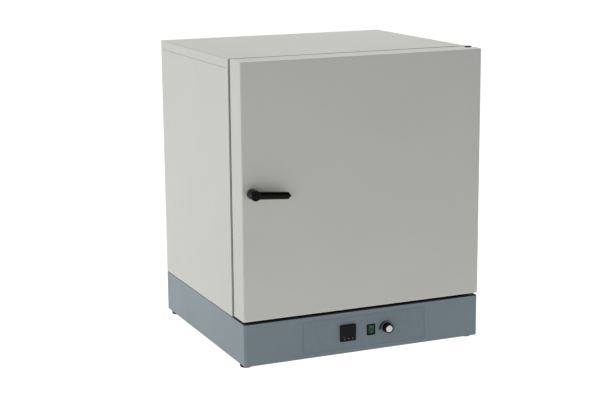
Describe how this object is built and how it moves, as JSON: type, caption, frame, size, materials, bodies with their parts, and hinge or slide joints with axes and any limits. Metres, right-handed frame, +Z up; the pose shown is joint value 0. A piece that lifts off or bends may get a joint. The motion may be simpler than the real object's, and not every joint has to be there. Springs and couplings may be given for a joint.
{
  "type": "dry heat sterilizer",
  "caption": "Insulated box oven on a control plinth, with a side-hung door, a lever latch, wire shelves, a fan and heater behind a baffle, and a damped exhaust.",
  "frame": {"origin": "on the bench plane, under the middle of the whole bounding box", "axes": "+X to the right seen from the front, +Y from the door to the back, +Z up"},
  "size_m": [0.74, 0.721, 0.862],
  "materials": {
    "case_enamel": "satin powder coat",
    "plinth_enamel": "satin powder coat",
    "control_film": "matt printed film",
    "black_steel": "matt black paint",
    "zinc_steel": "zinc plated",
    "stainless": "brushed",
    "brass_copper": "satin",
    "mineral_wool": "pressed mineral wool",
    "motor_iron": "painted",
    "silicone": "matt",
    "foot_rubber": "matt",
    "black_plastic": "moulded",
    "display_window": "glossy",
    "green_lens": "glossy",
    "white_nylon": "moulded",
    "heatsink_aluminium": "anodised"
  },
  "bodies": {
    "cabinet": {"plinth_shell": "plinth_enamel", "plinth_floor": "zinc_steel", "plinth_back_panel": "plinth_enamel", "plinth_deck": "black_steel", "rubber_feet": "foot_rubber", "side_panel_left": "case_enamel", "side_panel_right": "case_enamel", "top_panel": "case_enamel", "back_panel": "case_enamel", "front_frame": "case_enamel", "chamber_liner": "stainless", "insulation_left": "mineral_wool", "insulation_right": "mineral_wool", "insulation_top": "mineral_wool", "insulation_bottom": "mineral_wool", "insulation_back": "mineral_wool", "heat_shield": "zinc_steel", "shelf_rack_left": "stainless", "shelf_rack_right": "stainless", "fan_baffle": "stainless", "heater_ring": "stainless", "fan_motor": "motor_iron", "temperature_probe": "stainless", "thermostat_bulb": "brass_copper", "exhaust_tube": "stainless", "top_pivot_bracket": "case_enamel", "bottom_pivot_bracket": "case_enamel", "thrust_washer": "brass_copper", "latch_keeper": "zinc_steel", "case_screws": "zinc_steel", "control_film": "control_film", "temperature_controller": "black_plastic", "controller_window": "display_window", "power_switch_housing": "black_plastic", "safety_thermostat": "zinc_steel", "solid_state_relay": "black_plastic", "relay_heatsink": "heatsink_aluminium", "terminal_block": "white_nylon", "cable_gland": "black_plastic"},
    "door": {"door_skin": "case_enamel", "door_insulation": "mineral_wool", "door_inner_panel": "stainless", "door_seal": "silicone", "door_screws": "zinc_steel", "pivot_blocks": "zinc_steel", "door_bushes": "white_nylon", "spindle_sleeve": "zinc_steel"},
    "latch": {"lever_handle": "black_plastic", "latch_spindle": "zinc_steel", "latch_cam": "zinc_steel"},
    "fan": {"fan_impeller": "stainless"},
    "rocker": {"power_rocker": "green_lens"},
    "knob": {"thermostat_knob": "black_plastic", "knob_cap": "zinc_steel"},
    "set_button": {"set_key": "black_plastic"},
    "down_button": {"down_key": "black_plastic"},
    "up_button": {"up_key": "black_plastic"},
    "upper_shelf": {"shelf_upper": "stainless"},
    "lower_shelf": {"shelf_lower": "stainless"},
    "damper": {"exhaust_damper": "stainless"}
  },
  "joints": [
    {"name": "door_swing", "type": "hinge", "parent": "cabinet", "child": "door", "pos_m": [0.358, -0.2705, 0.499], "axis": [0, 0, 1], "range_deg": [0, 110]},
    {"name": "lever_turn", "type": "hinge", "parent": "door", "child": "latch", "pos_m": [-0.342, -0.3265, 0.499], "axis": [0, 1, 0], "range_deg": [0, 90]},
    {"name": "fan_spin", "type": "hinge", "parent": "cabinet", "child": "fan", "pos_m": [0, 0.2185, 0.495], "axis": [0, 1, 0], "continuous": true},
    {"name": "power_rock", "type": "hinge", "parent": "cabinet", "child": "rocker", "pos_m": [0.0193, -0.3215, 0.07], "axis": [1, 0, 0], "range_deg": [0, 16]},
    {"name": "thermostat_turn", "type": "hinge", "parent": "cabinet", "child": "knob", "pos_m": [0.0703, -0.3265, 0.07], "axis": [0, 1, 0], "range_deg": [0, 270]},
    {"name": "set_press", "type": "slide", "parent": "cabinet", "child": "set_button", "axis": [0, 1, 0], "range_m": [0, 0.0005], "stiffness_N_per_m": 400, "springref_m": -0.001},
    {"name": "down_press", "type": "slide", "parent": "cabinet", "child": "down_button", "axis": [0, 1, 0], "range_m": [0, 0.0005], "stiffness_N_per_m": 400, "springref_m": -0.001},
    {"name": "up_press", "type": "slide", "parent": "cabinet", "child": "up_button", "axis": [0, 1, 0], "range_m": [0, 0.0005], "stiffness_N_per_m": 400, "springref_m": -0.001},
    {"name": "upper_shelf_slide", "type": "slide", "parent": "cabinet", "child": "upper_shelf", "axis": [0, -1, 0], "range_m": [0, 0.02]},
    {"name": "lower_shelf_slide", "type": "slide", "parent": "cabinet", "child": "lower_shelf", "axis": [0, -1, 0], "range_m": [0, 0.02]},
    {"name": "damper_swing", "type": "hinge", "parent": "cabinet", "child": "damper", "pos_m": [0.238, 0.3365, 0.72], "axis": [0, 1, 0], "range_deg": [0, 90]}
  ]
}
